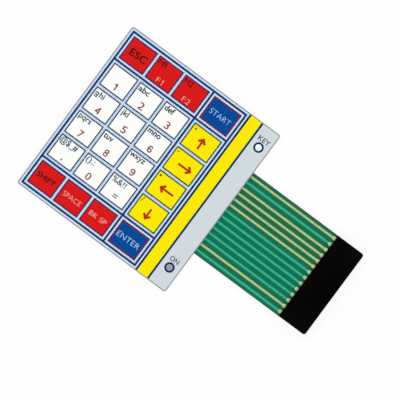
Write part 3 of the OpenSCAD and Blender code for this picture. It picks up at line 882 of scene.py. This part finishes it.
# Words on the coloured keys: the text, its capital height, width and weight, its key, and its place there
dark_words = [
    ("ESC", 2.6, 7.0, 0.009, 0, 0, 0.2, -0.18),
    ("M", 2.0, 2.25, 0.0, 1, 0, -3.4, 2.95),
    ("M2", 2.0, 3.7, 0.0, 2, 0, -2.78, 3.0),
    ("SHIFT", 2.0, 7.6, 0.011, 0, 5, -0.2, -0.06),
]
white_words = [
    ("F", 2.0, 1.25, -0.025, 1, 0, -0.66, -2.88),
    ("F2", 2.0, 3.05, -0.026, 2, 0, 0.24, -2.92),
    ("SPACE", 1.92, 7.75, -0.024, 1, 5, -0.02, -0.22),
    ("BK SP", 1.9, 7.25, -0.022, 2, 5, -0.12, -0.2),
]
pale_words = [
    ("START", 2.1, 8.85, -0.018, 3, 0, 0.05, -0.16),
    ("ENTER", 2.13, 9.65, -0.015, 3, 5, -0.1, -0.14),
]


def word_prints(words):
    """The printed words of one list, each on its key."""
    prints = []
    for text, capital, width, weight, column, row, across, up in words:
        middle = (key_xs[column] + across * mm, key_ys[row] + up * mm)
        letters = lettering(text, capital * mm, width * mm, weight)
        prints.append(put(letters, key_ink_top, middle=middle))
    return prints


one_capital = 2.0 * mm
m_one_stroke = 0.33 * mm
m_one_middle = (key_xs[1] - 1.72 * mm, key_ys[0] + 3.0 * mm)
f_one_stroke = 0.15 * mm
f_one_middle = (key_xs[1] + 0.98 * mm, key_ys[0] - 2.88 * mm)
dark_prints = word_prints(dark_words)
dark_prints.append(put(figure_one(one_capital, m_one_stroke), key_ink_top, middle=m_one_middle))
white_prints = word_prints(white_words)
white_prints.append(put(figure_one(one_capital, f_one_stroke), key_ink_top, middle=f_one_middle))
pale_prints = word_prints(pale_words)
print_legend("legend_dark_words", dark_prints, ink_finish("near_black_ink", (10, 18, 20)))
print_legend("legend_white_words", white_prints, ink_finish("soft_white_ink", (246, 212, 202)))
print_legend("legend_pale_words", pale_prints, ink_finish("pale_ink", (180, 224, 250)))

# Words beside the lamps: the word, its width, its place across, and the window that it names
lamp_word_rise = 3.2 * mm
lamp_word_capital = 1.85 * mm
lamp_word_weight = 0.006
lamp_prints = []
for word, width, across, window in (
    ("KEY", 4.85, 0.22, "key_window_print"),
    ("ON", 3.6, -0.05, "on_window_print"),
):
    window_low, window_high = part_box(window)
    window_middle = (window_low + window_high) / 2
    middle = (window_middle.x + across * mm, window_middle.y + lamp_word_rise)
    lamp_word = lettering(word, lamp_word_capital, width * mm, lamp_word_weight)
    lamp_prints.append(put(lamp_word, strip_ink_top, middle=middle))
print_legend("legend_lamp_words", lamp_prints, ink_finish("lamp_word_ink", (6, 36, 94)))

# Crimp contacts
# Stamped tin-plated bronze, one crimped through the film on each line. Only the round end of the crimp
# shows beside the housing, paler than the line that it grips and with a little of its colour.
crimp_finish, tree, shader = grained_finish(
    "tinned_crimp", (203, 230, 182), specular=0.5,
    Mottle=0.1, Mottle_Scale=900.0, Grain_Scale=12000.0, Roughness=0.4, Roughness_Swing=0.2,
)
lay_over(tree, shader, near_bare_lines(tree), (229, 237, 154))
press_marks = stretched_noise(tree, 5000.0, (1.0, 0.1, 1.0))
lay_over(tree, shader, fade(tree, press_marks, 0.55, 0.8, most=0.35), (174, 188, 138))
shader.inputs["Metallic"].default_value = 0.15
wear(cad["crimp_contacts"], crimp_finish)

# Connector housing
# A black nylon moulding that clips over the crimped contacts at the end of the film. Its far corners are
# rounded and its edges broken, each contact has its own cavity, and a fine spark-eroded texture from the
# mould covers it.
housing_low, housing_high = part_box("connector_housing")
housing_middle_z = (housing_low.z + housing_high.z) / 2
housing_corner = 1.0 * mm
housing_edge = 0.1 * mm
film_slot_half_w = 17.45 * mm
film_slot_depth = 4.3 * mm
film_slot_below = 0.375 * mm
film_slot_above = 0.405 * mm
cavity_half = 0.95 * mm
front_wall = 0.8 * mm
mouth_half = 0.45 * mm
mouth_lead = 0.3 * mm
latch_half_l = 1.2 * mm
latch_half_w = 0.6 * mm
cut = 0.05 * mm

housing = start_block("connector_shell", housing_low, housing_high)
select_edges(housing, lambda a, b: upright(a, b) and a.x > housing_high.x - cut)
bpy.ops.mesh.bevel(offset=housing_corner, segments=8, affect="EDGES")
select_edges(housing, lambda a, b: level_with(a, b, housing_low.z) or level_with(a, b, housing_high.z))
bpy.ops.mesh.bevel(offset=housing_edge, segments=2, affect="EDGES")
bpy.ops.object.mode_set(mode="OBJECT")


def room_between(x0, x1, y, half_y, z0, z1):
    """A block of the space that is cut out of the housing."""
    block = start_block("room", (x0, y - half_y, z0), (x1, y + half_y, z1))
    bpy.ops.object.mode_set(mode="OBJECT")
    return block


def contact_room(y):
    """The space of one contact: its cavity, its latch window below, and its mouth with a lead-in."""
    cavity_x0 = housing_low.x + film_slot_depth
    cavity_x1 = housing_high.x - front_wall
    latch_x0 = (cavity_x0 + cavity_x1) / 2 - latch_half_l
    mouth_x1 = housing_high.x + cut
    z = housing_middle_z
    cavity = room_between(cavity_x0 - cut, cavity_x1, y, cavity_half, z - cavity_half, z + cavity_half)
    latch = room_between(latch_x0, latch_x0 + 2 * latch_half_l, y, latch_half_w, housing_low.z - cut, z)
    mouth = room_between(cavity_x1 - cut, mouth_x1, y, mouth_half, z - mouth_half, z + mouth_half)
    lead = start_block(
        "lead", (housing_high.x - mouth_lead, y - mouth_half, z - mouth_half),
        (mouth_x1, y + mouth_half, z + mouth_half),
    )
    select_faces(lead, lambda middle, normal: normal.x > 0.9)
    flare = (mouth_half + mouth_lead + cut) / mouth_half
    bpy.ops.transform.resize(value=(1, flare, flare), center_override=(mouth_x1, y, z))
    bpy.ops.object.mode_set(mode="OBJECT")
    return [cavity, latch, mouth, lead]


contact_rooms = join(contact_room(tail_middle_y - (line_count - 1) / 2 * line_pitch))
contact_row = contact_rooms.modifiers.new("contact_row", "ARRAY")
contact_row.use_relative_offset = False
contact_row.use_constant_offset = True
contact_row.constant_offset_displace = (0, line_pitch, 0)
contact_row.count = line_count
bpy.ops.object.modifier_apply(modifier=contact_row.name)
film_slot = room_between(
    housing_low.x - cut, housing_low.x + film_slot_depth, tail_middle_y, film_slot_half_w,
    housing_middle_z - film_slot_below, housing_middle_z + film_slot_above,
)
hollow = join([contact_rooms, film_slot])
carve = housing.modifiers.new("carve", "BOOLEAN")
carve.operation = "DIFFERENCE"
carve.object = hollow
carve.use_self = True
bpy.ops.object.select_all(action="DESELECT")
housing.select_set(True)
bpy.context.view_layer.objects.active = housing
bpy.ops.object.modifier_apply(modifier=carve.name)
bpy.data.objects.remove(hollow)
bpy.ops.object.shade_smooth_by_angle(angle=math.radians(30))

housing_finish = grained_finish(
    "black_nylon", (2, 2, 2), specular=0.1, grain_depth=0.01 * mm,
    Mottle=0.3, Mottle_Scale=500.0, Grain_Scale=5000.0, Roughness=0.3, Roughness_Swing=0.1,
)[0]
wear(housing, housing_finish)
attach(housing, "root")
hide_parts("connector_housing")
